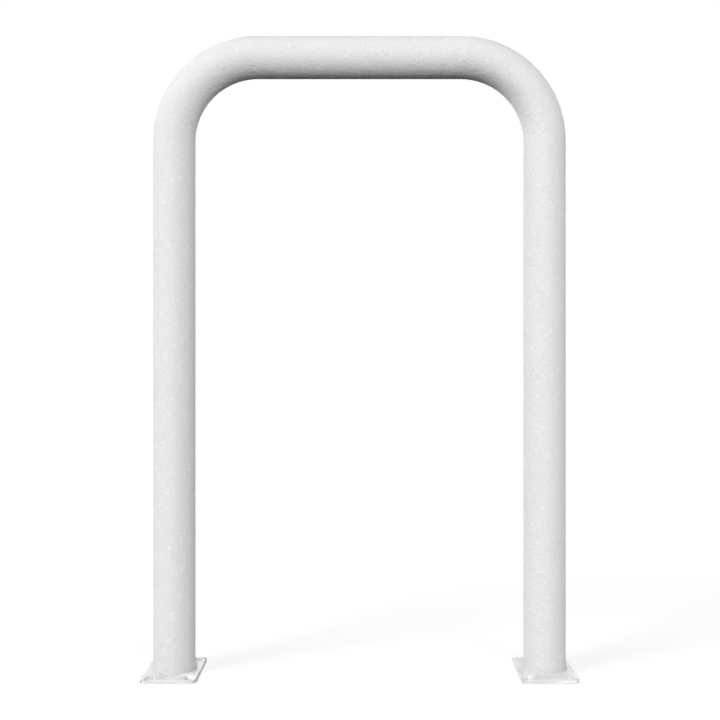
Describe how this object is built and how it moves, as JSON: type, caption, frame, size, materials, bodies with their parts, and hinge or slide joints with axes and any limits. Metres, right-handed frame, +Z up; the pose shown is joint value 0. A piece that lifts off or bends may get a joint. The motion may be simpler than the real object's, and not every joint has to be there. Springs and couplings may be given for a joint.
{
  "type": "steel hoop barrier",
  "caption": "White coated steel tube bent into an inverted U and welded to drilled base plates: bolts to the ground to keep vehicles off a doorway, column or walkway.",
  "frame": {"origin": "on the ground, midway between the two legs and on the tube's centreline plane", "axes": "+Z up, +X along the crown bar from the left leg to the right leg, +Y through the hoop, away from the camera"},
  "size_m": [0.7738, 0.15, 1.156],
  "materials": {
    "white_coat": "white polyester powder coat on steel, matt, with a fine orange-peel texture"
  },
  "bodies": {
    "root": {"hoop_tube": "white_coat", "left_base_plate": "white_coat", "right_base_plate": "white_coat", "left_base_weld": "white_coat", "right_base_weld": "white_coat"}
  },
  "joints": []
}
